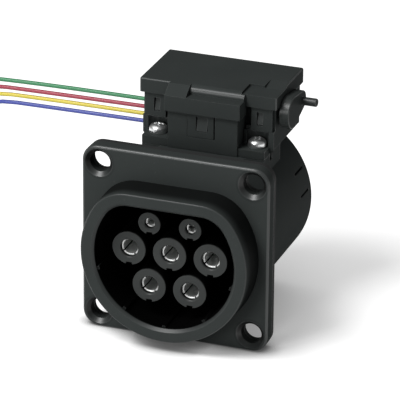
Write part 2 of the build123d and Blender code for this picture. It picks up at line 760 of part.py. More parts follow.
# Actuator cover: roof with skirts, brow over the nose, two side tongues and one nose tongue
with BuildPart() as actuator_cover:
    upright_block(-cover_half_width, cover_half_width, cover_front, cover_back, cover_skirt_bottom, cover_top)
    upright_corners = actuator_cover.edges().filter_by(Axis.Z)
    fillet(upright_corners, cover_round)
    step_round_end = brow_step_depth + brow_step_round
    upright_block(ramp_right, brow_half_width, 0, step_round_end, cover_top - brow_step_round, cover_top + 1,
                  Mode.SUBTRACT)
    step_end = step_round_end + 1
    with BuildSketch(Plane.YZ.offset(ramp_right)) as step_profile:
        Polygon((brow_front, brow_bottom), (brow_front, brow_top), (brow_step_depth, brow_top),
                (brow_step_depth, cover_top), (step_end, cover_top), (step_end, brow_bottom), align=None)
        fillet(step_profile.vertices().sort_by_distance((brow_step_depth, cover_top))[0], brow_step_round)
    extrude(amount=brow_half_width - ramp_right)
    with BuildSketch(Plane.YZ.offset(-brow_half_width)):
        Polygon((brow_front, brow_bottom), (brow_front, brow_top), (ramp_end, cover_top),
                (ramp_end + 2, cover_top), (ramp_end + 2, brow_bottom), align=None)
    extrude(amount=brow_half_width + ramp_right)
    low_top = cover_top - low_corner_drop
    upright_block(low_corner_left, 2 * cover_half_width, cover_front - 0.5 * (cover_front - brow_front),
                  low_corner_front_depth, low_top, cover_top + 1, Mode.SUBTRACT)
    with BuildSketch(Plane.YZ.offset(low_corner_step)):
        Polygon((low_corner_front_depth - 1, low_top), (low_corner_front_depth, low_top),
                (low_corner_back_depth, cover_top), (low_corner_back_depth, cover_top + 1),
                (low_corner_front_depth - 1, cover_top + 1), align=None)
    extrude(amount=2 * cover_half_width, mode=Mode.SUBTRACT)
    back_and_side_edges = actuator_cover.faces().filter_by(Axis.Z).sort_by(Axis.Z)[-1].edges().filter_by(
        lambda edge: edge.center().X < 0.1 - cover_half_width or edge.center().Y > cover_back - 0.1)
    fillet(back_and_side_edges, 0.9 * cover_round)
    hollow_half = housing_half_width + cover_gap
    hollow_front = cover_front + cover_wall
    hollow_back = housing_back + cover_gap
    upright_block(-hollow_half, hollow_half, hollow_front, hollow_back, 0, cover_ceiling, Mode.SUBTRACT)
    brow_hollow_half = nose_half_width + cover_gap
    upright_block(-brow_hollow_half, brow_hollow_half, nose_front - cover_gap, hollow_front + 1,
                  0, nose_top + cover_gap, Mode.SUBTRACT)
    upright_block(-brow_hollow_half, brow_hollow_half, brow_step_depth + brow_riser_wall, hollow_front + 1,
                  0, cover_ceiling, Mode.SUBTRACT)
    for side in (-1, 1):
        inner, outer = sorted((side * tongue_inner, side * tongue_outer))
        upright_block(inner, outer, tongue_front, tongue_back, tongue_bottom, cover_ceiling + fit_gap)
        window_half = catch_width / 2 + window_gap
        upright_block(side * catch_spread - window_half, side * catch_spread + window_half, 0, tongue_back + 1,
                      catch_bottom - window_gap, catch_bottom + catch_height + window_gap, Mode.SUBTRACT)
    upright_block(nose_tongue_left, nose_tongue_right, nose_front, nose_front + nose_tongue_thickness,
                  nose_tongue_bottom, nose_top + 2 * cover_gap)
    upright_block(nose_catch_left - window_gap, nose_catch_right + window_gap, 0,
                  nose_front + nose_tongue_thickness + 1, nose_catch_bottom - window_gap,
                  nose_catch_bottom + nose_catch_height + window_gap, Mode.SUBTRACT)
pieces["actuator_cover"] = actuator_cover

# Screws that hold the actuator's ears to the rear housing
with BuildPart() as housing_screws:
    with BuildSketch(Plane.XY.offset(ear_top)):
        with Locations((-screw_spread, screw_depth), (screw_spread, screw_depth)):
            Circle(screw_head_radius)
    extrude(amount=screw_head_height)
    fillet(housing_screws.faces().filter_by(Axis.Z).group_by(Axis.Z)[-1].edges(), 0.45 * screw_head_height)
    with BuildSketch(Plane.XY.offset(ear_top)):
        with Locations((-screw_spread, screw_depth), (screw_spread, screw_depth)):
            Circle(screw_radius)
    extrude(amount=-screw_length + fit_gap)
    with BuildSketch(Plane.XY.offset(ear_top + screw_head_height)):
        with Locations((-screw_spread, screw_depth), (screw_spread, screw_depth)):
            Rectangle(screw_recess_length, screw_recess_width)
            Rectangle(screw_recess_width, screw_recess_length)
    extrude(amount=-screw_recess_depth, mode=Mode.SUBTRACT)
pieces["housing_screws"] = housing_screws

# Locking bolt: round pin, guide block, toothed strip and the arm that works the switch
with BuildPart() as lock_bolt:
    with BuildSketch(Plane.XY.offset(bolt_rest_height)):
        with Locations((0, bolt_depth)):
            Circle(bolt_radius)
    extrude(amount=bolt_block_bottom - bolt_rest_height)
    chamfer(lock_bolt.faces().sort_by(Axis.Z)[0].edges(), 0.6)
    root_line = rack_line - dedendum_share * rack_module
    strip_front = root_line - rack_strip_thickness
    rack_pitch = math.pi * rack_module
    rack_top = shaft_height + bolt_travel + 2.2
    rack_bottom = shaft_height - rack_pitch
    block_front = nose_inner_front + 2 * fit_gap
    upright_block(-bolt_radius, bolt_radius, bolt_depth - 2 * bolt_radius, block_front,
                  bolt_round_top, bolt_block_bottom + 1, Mode.SUBTRACT)
    upright_block(-bolt_block_width / 2, bolt_block_width / 2, block_front, root_line,
                  bolt_block_bottom, bolt_block_top)
    upright_block(-bolt_block_width / 2, bolt_block_width / 2, strip_front, root_line,
                  bolt_block_bottom, rack_top)
    tooth_half = (rack_pitch / 2 - backlash) / 2
    tip_line = rack_line + addendum_share * rack_module
    with BuildSketch(Plane.YZ.offset(-bolt_block_width / 2)):
        for index in range(4):
            middle = shaft_height + (index - 0.5) * rack_pitch
            root_half = tooth_half + (rack_line - root_line) * tooth_slope
            tip_half = tooth_half - (tip_line - rack_line) * tooth_slope
            Polygon((root_line - 0.3, middle - root_half), (root_line, middle - root_half),
                    (tip_line, middle - tip_half), (tip_line, middle + tip_half),
                    (root_line, middle + root_half), (root_line - 0.3, middle + root_half), align=None)
    extrude(amount=bolt_block_width)
    arm_bottom = housing_floor + fit_gap + switch_height + plunger_rise + bolt_travel + fit_gap
    upright_block(0, switch_arm_reach, strip_front, root_line, arm_bottom, arm_bottom + switch_arm_thickness)
    upright_block(bolt_block_width / 2 + 0.3, switch_arm_reach, strip_front, switch_arm_depth,
                  arm_bottom, arm_bottom + switch_arm_thickness)
pieces["lock_bolt"] = lock_bolt

# Rubber ring round the bolt
with BuildPart() as bolt_seal:
    with BuildSketch(Plane.XY.offset(saddle_height - saddle_wall)):
        with Locations((0, bolt_depth)):
            Circle(bolt_seal_radius - running_gap)
            Circle(bolt_radius + running_gap, mode=Mode.SUBTRACT)
    extrude(amount=saddle_wall)
pieces["bolt_seal"] = bolt_seal

# Drive gear: the pinion that moves the bolt and the wheel of the train, on the release shaft
with BuildPart() as drive_gear:
    with BuildSketch(Plane.YZ.offset(-pinion_width / 2)):
        with Locations((shaft_depth, shaft_height)):
            gear_outline(pinion_teeth, rack_module, 180)
    extrude(amount=pinion_width)
    with BuildSketch(Plane.YZ.offset(train_right - train_width)):
        with Locations((shaft_depth, shaft_height)):
            gear_outline(wheel_teeth, train_module, idler_angle)
    extrude(amount=train_width)
    with BuildSketch(Plane.YZ.offset(train_right)):
        with Locations((shaft_depth, shaft_height)):
            Circle(2 * shaft_radius)
    extrude(amount=gear_gap)
    with BuildSketch(Plane.YZ.offset(train_right - 2 * train_width)):
        with Locations((shaft_depth, shaft_height)):
            Circle(shaft_radius + running_gap / 2)
    extrude(amount=3 * train_width + pinion_width, mode=Mode.SUBTRACT)
pieces["drive_gear"] = drive_gear

with BuildPart() as release_shaft:
    with BuildSketch(Plane.YZ.offset(frame_right - frame_thickness + running_gap)):
        with Locations((shaft_depth, shaft_height)):
            Circle(shaft_radius)
    extrude(amount=shaft_right - frame_right + frame_thickness - running_gap)
pieces["release_shaft"] = release_shaft

# Release lever outside the cover, with the peg that a pull cord hooks on
with BuildPart() as release_lever:
    with BuildSketch(Plane.YZ.offset(lever_left)):
        with Locations((shaft_depth, shaft_height)):
            Circle(hub_radius)
        with Locations((shaft_depth + lever_reach, shaft_height + lever_rise)):
            Circle(lever_end_radius)
        make_hull()
    extrude(amount=lever_thickness)
    fillet(release_lever.faces().sort_by(Axis.X)[-1].edges(), lever_edge_round)
    with BuildSketch(Plane.YZ.offset(lever_left + lever_thickness)):
        with Locations((shaft_depth + lever_reach - peg_inset, shaft_height + lever_rise)):
            Circle(peg_radius)
    extrude(amount=peg_length)
    chamfer(release_lever.faces().sort_by(Axis.X)[-1].edges(), 0.3)
    with BuildSketch(Plane.YZ.offset(lever_left)):
        with Locations((shaft_depth, shaft_height)):
            Circle(shaft_radius + running_gap / 2)
    extrude(amount=shaft_right + fit_gap - lever_left, mode=Mode.SUBTRACT)
pieces["release_lever"] = release_lever

with BuildPart() as shaft_seal:
    with BuildSketch(Plane.YZ.offset(housing_half_width)):
        with Locations((shaft_depth, shaft_height)):
            Circle(shaft_seal_radius - running_gap)
            Circle(shaft_radius + running_gap, mode=Mode.SUBTRACT)
    extrude(amount=boss_reach)
pieces["shaft_seal"] = shaft_seal

# Idler gear on its axle
with BuildPart() as idler_gear:
    with BuildSketch(Plane.YZ.offset(train_right - train_width)):
        with Locations((idler_depth, idler_height)):
            gear_outline(small_teeth, train_module, idler_angle + 180 + 180 / small_teeth)
    extrude(amount=train_width)
    with BuildSketch(Plane.YZ.offset(wheel_right - wheel_width)):
        with Locations((idler_depth, idler_height)):
            gear_outline(wheel_teeth, train_module, motor_angle)
    extrude(amount=wheel_width)
    with BuildSketch(Plane.YZ.offset(wheel_right)):
        with Locations((idler_depth, idler_height)):
            Circle(1.7 * idler_axle_radius)
    extrude(amount=train_right - train_width - wheel_right)
    with BuildSketch(Plane.YZ.offset(wheel_right - 2 * wheel_width)):
        with Locations((idler_depth, idler_height)):
            Circle(idler_axle_radius + running_gap)
    extrude(amount=4 * train_width, mode=Mode.SUBTRACT)
pieces["idler_gear"] = idler_gear

with BuildPart() as idler_axle:
    with BuildSketch(Plane.YZ.offset(frame_left)):
        with Locations((idler_depth, idler_height)):
            Circle(idler_axle_radius)
    extrude(amount=train_right + gear_gap - frame_left)
pieces["idler_axle"] = idler_axle

# Frame plate that carries the shaft's end, the axle and the motor
with BuildPart() as gear_frame:
    upright_block(frame_left, frame_right, shaft_depth - frame_lead, housing_back - housing_wall - fit_gap,
                  housing_floor, cover_ceiling - 2 * fit_gap)
    for depth, height, radius in (
        (shaft_depth, shaft_height, shaft_radius + running_gap),
        (idler_depth, idler_height, idler_axle_radius),
        (motor_depth, motor_axis_height, 3 * motor_shaft_radius),
    ):
        with BuildSketch(Plane.YZ.offset(frame_left - 1)):
            with Locations((depth, height)):
                Circle(radius)
        extrude(amount=frame_thickness + 2, mode=Mode.SUBTRACT)
pieces["gear_frame"] = gear_frame

# Motor and its pinion
with BuildPart() as lock_motor:
    with BuildSketch(Plane.YZ.offset(frame_left - fit_gap)):
        with Locations((motor_depth, motor_axis_height)):
            Circle(motor_width / 2)
            Rectangle(motor_width, motor_height, mode=Mode.INTERSECT)
    extrude(amount=-motor_length)
    with BuildSketch(Plane.YZ.offset(frame_left - fit_gap)):
        with Locations((motor_depth, motor_axis_height)):
            Circle(2 * motor_shaft_radius)
    extrude(amount=frame_thickness)
    with BuildSketch(Plane.YZ.offset(frame_right)):
        with Locations((motor_depth, motor_axis_height)):
            Circle(motor_shaft_radius + running_gap)
    extrude(amount=-motor_length / 2, mode=Mode.SUBTRACT)
pieces["lock_motor"] = lock_motor

with BuildPart() as motor_pinion:
    with BuildSketch(Plane.YZ.offset(wheel_right - wheel_width)):
        with Locations((motor_depth, motor_axis_height)):
            gear_outline(small_teeth, train_module, motor_angle + 180 + 180 / small_teeth)
    extrude(amount=wheel_width)
    with BuildSketch(Plane.YZ.offset(frame_right - motor_length / 2 + fit_gap)):
        with Locations((motor_depth, motor_axis_height)):
            Circle(motor_shaft_radius)
    extrude(amount=wheel_right + gear_gap - frame_right + motor_length / 2 - fit_gap)
pieces["motor_pinion"] = motor_pinion

# Position switch with its plunger, and the circuit board that the wires end on
switch_bottom = housing_floor + fit_gap
switch_top = switch_bottom + switch_height
with BuildPart() as position_switch:
    upright_block(switch_left, switch_left + switch_width, switch_front, switch_front + switch_length,
                  switch_bottom, switch_top)
    fillet(position_switch.edges().filter_by(Axis.Z), 0.4)
    upright_block(plunger_place - plunger_width / 2 - running_gap, plunger_place + plunger_width / 2 + running_gap,
                  plunger_depth - plunger_width / 2 - running_gap, plunger_depth + plunger_width / 2 + running_gap,
                  switch_top - 2, switch_top + 1, Mode.SUBTRACT)
pieces["position_switch"] = position_switch

with BuildPart() as switch_plunger:
    upright_block(plunger_place - plunger_width / 2, plunger_place + plunger_width / 2,
                  plunger_depth - plunger_width / 2, plunger_depth + plunger_width / 2,
                  switch_top - 2 + plunger_travel + running_gap, switch_top + plunger_rise)
pieces["switch_plunger"] = switch_plunger

with BuildPart() as circuit_board:
    upright_block(board_left, board_left + board_thickness, board_front, board_back, board_bottom, board_top)
pieces["circuit_board"] = circuit_board

# Rubber grommet where the wires leave the housing
with BuildPart() as wire_grommet:
    with BuildSketch(Plane.YZ.offset(-housing_half_width)):
        with Locations((wire_depth, wire_middle)):
            RectangleRounded(grommet_width - fit_gap, grommet_height - fit_gap, grommet_width / 3)
    extrude(amount=housing_wall)
    with BuildSketch(Plane.YZ.offset(-housing_half_width)):
        with Locations((wire_depth, wire_middle)):
            RectangleRounded(grommet_width + 2 * grommet_lip, grommet_height + 2 * grommet_lip, grommet_width / 2)
    extrude(amount=-grommet_lip)
    for height in wire_heights.values():
        with BuildSketch(Plane.YZ.offset(-housing_half_width - 2)):
            with Locations((wire_depth, height)):
                Circle(wire_radius + running_gap)
        extrude(amount=housing_wall + 4, mode=Mode.SUBTRACT)
pieces["wire_grommet"] = wire_grommet

# Connecting wires: straight out of the grommet, over and down, into a stack of small coils
wire_routes = {
    "blue": [
        (board_left, wire_depth, wire_heights["blue"]), (-61.0, 36.3, 31.2), (-100.2, 37.5, 30.4),
        (-104.0, 41.5, -1.0), (-106.0, 38.0, -25.0), (-106.6, 24.5, -32.7), (-106.2, 17.0, -32.7),
    ],
    "yellow": [
        (board_left, wire_depth, wire_heights["yellow"]), (-62.0, 36.6, 34.35), (-103.2, 37.0, 33.4),
        (-107.0, 39.0, 2.0), (-107.5, 35.5, -20.0), (-106.7, 24.0, -27.9), (-106.2, 17.0, -27.9),
    ],
    "red": [
        (board_left, wire_depth, wire_heights["red"]), (-63.0, 36.3, 37.1), (-106.2, 36.7, 36.4),
        (-110.5, 36.0, 5.0), (-109.5, 33.0, -15.0), (-106.9, 23.5, -23.1), (-106.2, 17.0, -23.1),
    ],
    "green": [
        (board_left, wire_depth, wire_heights["green"]), (-64.0, 36.7, 40.3), (-109.5, 36.0, 39.2),
        (-114.0, 33.0, 8.0), (-111.5, 30.0, -10.0), (-107.1, 22.5, -18.3), (-106.2, 17.0, -18.3),
    ],
}
coil_width = 2 * wire_radius * coil_columns
coil_height = 2 * wire_radius * coil_layers
for level, (colour, route) in enumerate(wire_routes.items()):
    points = [Vector(*point) for point in route]
    radii = []
    for before, corner, after in zip(points, points[1:], points[2:]):
        turn = (corner - before).get_angle(after - corner)
        shorter = min((corner - before).length, (after - corner).length)
        radii.append(0.45 * shorter / math.tan(math.radians(turn / 2)))
    with BuildLine() as wire_path:
        FilletPolyline(*points, radius=radii)
    with BuildPart() as wire_lead:
        with BuildSketch(Plane(origin=points[0], z_dir=points[1] - points[0])):
            Circle(wire_radius)
        sweep(path=wire_path.line)
    wire_length = sum(edge.length for edge in wire_path.edges())
    swept = wire_length * math.pi * wire_radius ** 2
    smallest = min(radii)
    print(f"{colour} wire: smallest bend {smallest:.1f} mm, bends", [round(r, 1) for r in radii])
    print(f"  length {wire_length:.1f} mm, volume {wire_lead.part.volume:.2f} of {swept:.2f} mm3")
    pieces[f"wire_{colour}"] = wire_lead

    coil_bottom = floor_height + level * coil_height
    with BuildPart() as wire_coil:
        with BuildSketch(Plane.XY.offset(coil_bottom)):
            with Locations((coil_centre_x, coil_centre_y)):
                Circle(coil_radius + coil_width / 2)
                Circle(coil_radius - coil_width / 2, mode=Mode.SUBTRACT)
        extrude(amount=coil_height)
        fillet(wire_coil.edges().filter_by(GeomType.CIRCLE), 0.6 * wire_radius)
    pieces[f"wire_coil_{colour}"] = wire_coil

    ferrule_side = coil_centre_x - coil_radius - wire_radius
    ferrule_height = coil_bottom + coil_height / 2
    with BuildPart() as ferrule:
        with BuildSketch(depth_plane(coil_centre_y + ferrule_start)):
            with Locations((ferrule_side, ferrule_height)):
                Circle(ferrule_radius)
        extrude(amount=-ferrule_collar)
        with BuildSketch(depth_plane(coil_centre_y + ferrule_start + ferrule_collar)):
            with Locations((ferrule_side, ferrule_height)):
                Circle(ferrule_pin_radius)
        extrude(amount=-ferrule_pin)
    pieces[f"wire_ferrule_{colour}"] = ferrule

for name, piece in pieces.items():
    piece.part.label = name
    export_step(piece.part, f"parts/{name}.step")
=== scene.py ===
"""Looks of the panel socket: camera, wires, finer pieces, moulded and metal finishes, floor and lamps.

Lengths are in millimetres and turned into metres where something is made from them. Only the lamps' places
and sizes are in metres. The frame is the model's own: +Z up, -Y towards the plug, origin at the centre of
the flange's rear face.
"""

import math

import bpy
import numpy as np
from mathutils import Matrix


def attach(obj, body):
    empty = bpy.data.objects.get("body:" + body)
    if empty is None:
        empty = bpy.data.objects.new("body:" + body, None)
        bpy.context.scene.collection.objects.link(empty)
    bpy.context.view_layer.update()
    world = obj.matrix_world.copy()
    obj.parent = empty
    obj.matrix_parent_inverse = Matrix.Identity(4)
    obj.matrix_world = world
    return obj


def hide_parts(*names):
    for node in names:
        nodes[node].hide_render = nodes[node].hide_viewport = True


MM = 0.001

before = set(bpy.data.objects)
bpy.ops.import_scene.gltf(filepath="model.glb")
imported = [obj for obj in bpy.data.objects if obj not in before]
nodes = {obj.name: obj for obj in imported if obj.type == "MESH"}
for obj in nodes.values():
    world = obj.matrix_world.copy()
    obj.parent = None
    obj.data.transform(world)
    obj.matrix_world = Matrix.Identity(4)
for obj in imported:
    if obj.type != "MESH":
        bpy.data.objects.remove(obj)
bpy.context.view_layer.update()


# Camera

PICTURE_WIDTH = 400
SENSOR_WIDTH = 36.0
NEAREST_SEEN = 50.0
FARTHEST_SEEN = 20000.0
FLANGE_FRONT = (0.0, -5.0, 0.0)


def stand(thing, right, up, back, centre):
    """Put a camera or lamp into the scene, by its own right, up and back axes and its centre in metres."""
    pose = Matrix.Identity(4)
    for row in range(3):
        pose[row][:] = right[row], up[row], back[row], centre[row]
    thing.matrix_world = pose
    bpy.context.scene.collection.objects.link(thing)


def place_camera(azimuth, elevation, roll, across, above, away, pixels):
    """Camera on a line at azimuth and elevation, turned by roll about it.

    Its centre is across and above along its own right and up axes, and away along its back axis, from the
    middle of the flange's front. The focal length is in pixels of the picture.
    """
    a, e, r = (math.radians(angle) for angle in (azimuth, elevation, roll))
    level = np.array([math.cos(a), math.sin(a), 0.0])
    back = np.array([math.sin(a) * math.cos(e), -math.cos(a) * math.cos(e), math.sin(e)])
    upward = np.cross(back, level)
    right = math.cos(r) * level + math.sin(r) * upward
    up = math.cos(r) * upward - math.sin(r) * level
    centre = right * across + up * above + back * away + np.array(FLANGE_FRONT)
    data = bpy.data.cameras.new("photo_camera")
    data.sensor_width = SENSOR_WIDTH
    data.lens = pixels * SENSOR_WIDTH / PICTURE_WIDTH
    data.clip_start = NEAREST_SEEN * MM
    data.clip_end = FARTHEST_SEEN * MM
    camera = bpy.data.objects.new("photo_camera", data)
    stand(camera, right, up, back, centre * MM)
    bpy.context.scene.camera = camera


place_camera(azimuth=19.901, elevation=23.600, roll=0.524, across=9.440, above=18.136, away=1277.09,
             pixels=3457.8)


# Mesh making

def add_mesh(name, points, faces, smooth_angle=35.0):
    """A mesh object from points in millimetres and faces.

    It is smooth except over edges sharper than smooth_angle in degrees.
    """
    mesh = bpy.data.meshes.new(name)
    corners = (np.asarray(points, float) * MM).tolist()
    mesh.from_pydata(corners, [], [tuple(int(i) for i in face) for face in faces])
    mesh.validate()
    mesh.polygons.foreach_set("use_smooth", np.ones(len(mesh.polygons), dtype=bool))
    mesh.set_sharp_from_angle(angle=math.radians(smooth_angle))
    piece = bpy.data.objects.new(name, mesh)
    bpy.context.scene.collection.objects.link(piece)
    return piece


def band_faces(rows, columns):
    """Faces of a grid that closes on itself along each row; point (row, column) is row * columns + column."""
    r = np.arange(rows - 1)[:, None]
    c = np.arange(columns)[None, :]
    near, far, following = r * columns, (r + 1) * columns, (c + 1) % columns
    corners = np.stack([near + c, near + following, far + following, far + c], -1)
    return corners.reshape(-1, 4).tolist()


def turned(profile, count):
    """Points of a profile of (radius, height) pairs turned about the Z axis.

    A pair's ring of points lies at its height, each at radius times the cosine and the sine of its angle.
    """
    profile = np.asarray(profile, float)
    angle = np.linspace(0, 2 * np.pi, count, endpoint=False)[None, :]
    radius, height = profile[:, :1], profile[:, 1:]
    return np.stack([radius * np.cos(angle), radius * np.sin(angle), height + 0 * angle], -1)


def closed_turning(points):
    """Points and faces of a turned grid whose first and last rows shrink to one point each."""
    rows, count, _ = points.shape
    sides = points[1:-1].reshape(-1, 3)
    first, last = points[0].mean(0), points[-1].mean(0)
    first_tip, last_tip = len(sides), len(sides) + 1
    last_ring = (rows - 3) * count
    faces = band_faces(rows - 2, count)
    faces += [[first_tip, (i + 1) % count, i] for i in range(count)]
    faces += [[last_tip, last_ring + i, last_ring + (i + 1) % count] for i in range(count)]
    return np.vstack([sides, first[None], last[None]]), faces


def joined(parts):
    """One set of points and faces from several, in their order."""
    points, faces, start = [], [], 0
    for its_points, its_faces in parts:
        points.append(its_points)
        faces += [[i + start for i in face] for face in its_faces]
        start += len(its_points)
    return np.vstack(points), faces


# Wires

FLOOR = -36.7
WIRE_RADIUS = 0.8
WIRE_POINTS = {
    "blue": [(-19.6, 36.5, 31.3), (-61.0, 36.3, 31.2), (-100.2, 37.5, 30.4), (-104.0, 41.5, -1.0),
             (-106.0, 38.0, -25.0), (-106.6, 24.5, -32.7), (-106.2, 17.0, -32.7)],
    "yellow": [(-19.6, 36.5, 34.25), (-62.0, 36.6, 34.35), (-103.2, 37.0, 33.4), (-107.0, 39.0, 2.0),
               (-107.5, 35.5, -20.0), (-106.7, 24.0, -27.9), (-106.2, 17.0, -27.9)],
    "red": [(-19.6, 36.5, 37.2), (-63.0, 36.3, 37.1), (-106.2, 36.7, 36.4), (-110.5, 36.0, 5.0),
            (-109.5, 33.0, -15.0), (-106.9, 23.5, -23.1), (-106.2, 17.0, -23.1)],
    "green": [(-19.6, 36.5, 40.2), (-64.0, 36.7, 40.3), (-109.5, 36.0, 39.2), (-114.0, 33.0, 8.0),
              (-111.5, 30.0, -10.0), (-107.1, 22.5, -18.3), (-106.2, 17.0, -18.3)],
}

COIL_X, COIL_Y = -116.0, 14.0
COIL_OUTER = 9.8
COIL_INNER = 8.2
COIL_LOW, COIL_MIDDLE, COIL_HIGH = 0.8, 2.4, 4.0
COIL_HEIGHT = 4.8
COIL_TURNS = 6.5
COIL_ENTRY = 9.9
POINT_STEP = 22.5
FIRST_CHANGE = 270.0
CHANGE_SECTOR = 45.0
TAIL_BEND = 3.0
TAIL_END = 7.0

FERRULE_START = 5.0
FERRULE_SIDES = 32
COLLAR_PROFILE = [(0, 0), (0.9, 0), (1.08, 0.15), (1.1, 0.5), (1.05, 1.6), (0.86, 3.4), (0.8, 3.95),
                  (0.7, 4.0), (0, 4.0)]
PIN_ROOT = [(0, 3.5), (0.6, 3.5)]
PIN_TIP = [(0.5, 10.0), (0, 10.0)]
PIN_RADIUS = 0.62
CRIMP_DEPTH = 0.05
CRIMP_PITCH = 1.45
CRIMP_START, CRIMP_END = 4.0, 9.8


def coil_points(bottom):
    """Control points of a wire's coil: six and a half clockwise turns, two side by side and three high.

    Each turn keeps its radius and height but for one sector of 45 degrees, in which it steps over to the
    next place; the sector lies 45 degrees earlier on each turn, so that no two turns meet.
    """
    places = np.array([(COIL_OUTER, COIL_HIGH), (COIL_INNER, COIL_HIGH), (COIL_INNER, COIL_MIDDLE),
                       (COIL_INNER, COIL_LOW), (COIL_OUTER, COIL_LOW), (COIL_OUTER, COIL_MIDDLE)])
    last = len(places) - 1
    angle = np.arange(1, int(COIL_TURNS * 360 / POINT_STEP) + 1) * POINT_STEP
    changes = FIRST_CHANGE + (360.0 - CHANGE_SECTOR) * np.arange(last)
    change_ends = np.ravel(np.column_stack([changes, changes + CHANGE_SECTOR]))
    place = np.interp(angle, change_ends, np.repeat(np.arange(last + 1), 2)[1:-1])
    low = np.clip(np.floor(place).astype(int), 0, last - 1)
    share = (place - low)[:, None]
    radius, height = (places[low] * (1 - share) + places[low + 1] * share).T
    reach = radius * 2 / (1 + math.cos(math.radians(POINT_STEP)))
    turn = np.radians(angle)
    return np.column_stack([COIL_X + reach * np.cos(turn), COIL_Y - reach * np.sin(turn), bottom + height])


def wire_curve(colour, level):
    """A wire as one smooth line: its lead, its coil, and a short straight end in the ferrule."""
    bottom = FLOOR + COIL_HEIGHT * level
    start = (COIL_X + COIL_ENTRY, COIL_Y, bottom + COIL_HIGH)
    end = [(COIL_X - COIL_OUTER, COIL_Y + run, bottom + COIL_MIDDLE) for run in (TAIL_BEND, TAIL_END)]
    points = np.vstack([WIRE_POINTS[colour], [start], coil_points(bottom), end]) * MM
    curve = bpy.data.curves.new(f"lead_{colour}", "CURVE")
    curve.dimensions = "3D"
    curve.bevel_depth = WIRE_RADIUS * MM
    curve.bevel_resolution = 3
    curve.resolution_u = 6
    curve.use_fill_caps = True
    spline = curve.splines.new("NURBS")
    spline.points.add(len(points) - 1)
    spline.points.foreach_set("co", np.column_stack([points, np.ones(len(points))]).ravel())
    spline.order_u = 3
    spline.use_endpoint_u = True
    piece = bpy.data.objects.new(f"lead_{colour}", curve)
    bpy.context.scene.collection.objects.link(piece)
    return piece


def ferrule_pieces(colour, level):
    """The crimped end of a wire: a flared collar, and a pin with its crimp marks as four shallow waves."""
    height = FLOOR + COIL_HEIGHT * level + COIL_MIDDLE
    along = np.linspace(CRIMP_START, CRIMP_END, 48)
    wave = PIN_RADIUS + CRIMP_DEPTH * np.cos((along - CRIMP_START) * 2 * np.pi / CRIMP_PITCH)
    pin_profile = np.vstack([PIN_ROOT, np.column_stack([wave, along]), PIN_TIP])
    made = []
    for label, profile in (("collar", COLLAR_PROFILE), ("pin", pin_profile)):
        points, faces = closed_turning(turned(profile, FERRULE_SIDES))
        placed = np.column_stack([COIL_X - COIL_OUTER + points[:, 0], COIL_Y + FERRULE_START + points[:, 2],
                                  height - points[:, 1]])
        made.append(add_mesh(f"ferrule_{label}_{colour}", placed, faces))
    return made


wires = {}
ferrules = {}
for level, colour in enumerate(WIRE_POINTS):
    wires[colour] = wire_curve(colour, level)
    ferrules[colour] = ferrule_pieces(colour, level)


# Screws

SCREW_HEAD_RADIUS = 3.42
SCREW_HEAD_HEIGHT = 3.4
SCREW_SHANK_RADIUS = 1.6
SCREW_LENGTH = 7.9
SCREW_SIDES = 144
DOME_FOOT = 0.45
DOME_FLATNESS = 0.9
CROSS_HALF_WIDTH = 0.36
CROSS_REACH = 1.75
CROSS_DEPTH = 1.5
CROSS_SLOPE = 0.55
THREAD_PITCH = 0.8
THREAD_DEPTH = 0.26
THREAD_SHARPNESS = 0.7
SCREW_PLACES = [(-19.7, 29.8, 30.7, 20), (19.7, 29.8, 30.7, 62)]


def screw_points():
    """A pan-head screw about the Z axis, its head's seat at height 0, as (ring, angle) points.

    The head's side leans in a little and rolls over into a flattened dome. The cross recess lowers the dome
    by a depth that falls from the centre outwards, times a smooth step of the distance from either arm.
    The shank's radius swings with height and angle as one spiral ridge.
    """
    head, tall, shank, length = SCREW_HEAD_RADIUS, SCREW_HEAD_HEIGHT, SCREW_SHANK_RADIUS, SCREW_LENGTH
    angle = np.linspace(0, 2 * np.pi, SCREW_SIDES, endpoint=False)[None, :]
    lean = np.linspace(0.0, 1.0, 48)[:, None] * np.pi / 2
    dome_height = tall * (DOME_FOOT + (1 - DOME_FOOT) * np.cos(lean) ** DOME_FLATNESS)
    x = head * np.sin(lean) * np.cos(angle)
    y = head * np.sin(lean) * np.sin(angle)
    narrow = np.minimum(np.abs(x), np.abs(y))
    wide = np.maximum(np.abs(x), np.abs(y))
    arm = 1 / (1 + np.exp((narrow - CROSS_HALF_WIDTH) / 0.05)) / (1 + np.exp((wide - CROSS_REACH) / 0.1))
    dome = np.stack([x, y, dome_height - arm * (CROSS_DEPTH - CROSS_SLOPE * wide)], -1)
    edge = [(head + 0.02, 0.38 * tall), (head + 0.05, 0.1 * tall), (head - 0.1, 0.0), (shank + 0.1, 0.0)]
    height = np.linspace(-0.1, THREAD_PITCH - length, 90)[:, None]
    ridge = 0.5 + 0.5 * np.cos(2 * np.pi * (height / THREAD_PITCH) - angle)
    radius = shank - 0.02 - THREAD_DEPTH * (1 - ridge ** THREAD_SHARPNESS)
    thread = np.stack([radius * np.cos(angle), radius * np.sin(angle), height + 0 * angle], -1)
    point = [(0.75 * shank, 0.3 - length), (0.3, 0.1 - length), (0, 0.1 - length)]
    return np.concatenate([dome, turned(edge, SCREW_SIDES), thread, turned(point, SCREW_SIDES)])


def placed_screws(name, places):
    """Screws at several places, each turned by its own angle in degrees about its axis."""
    points, faces = closed_turning(screw_points())
    parts = []
    for x, y, z, turn in places:
        c, s = math.cos(math.radians(turn)), math.sin(math.radians(turn))
        rotated = [x + c * points[:, 0] - s * points[:, 1], y + s * points[:, 0] + c * points[:, 1],
                   z + points[:, 2]]
        parts.append((np.column_stack(rotated), faces))
    return add_mesh(name, *joined(parts), smooth_angle=50)


screws = placed_screws("pan_head_screws", SCREW_PLACES)


# Contacts

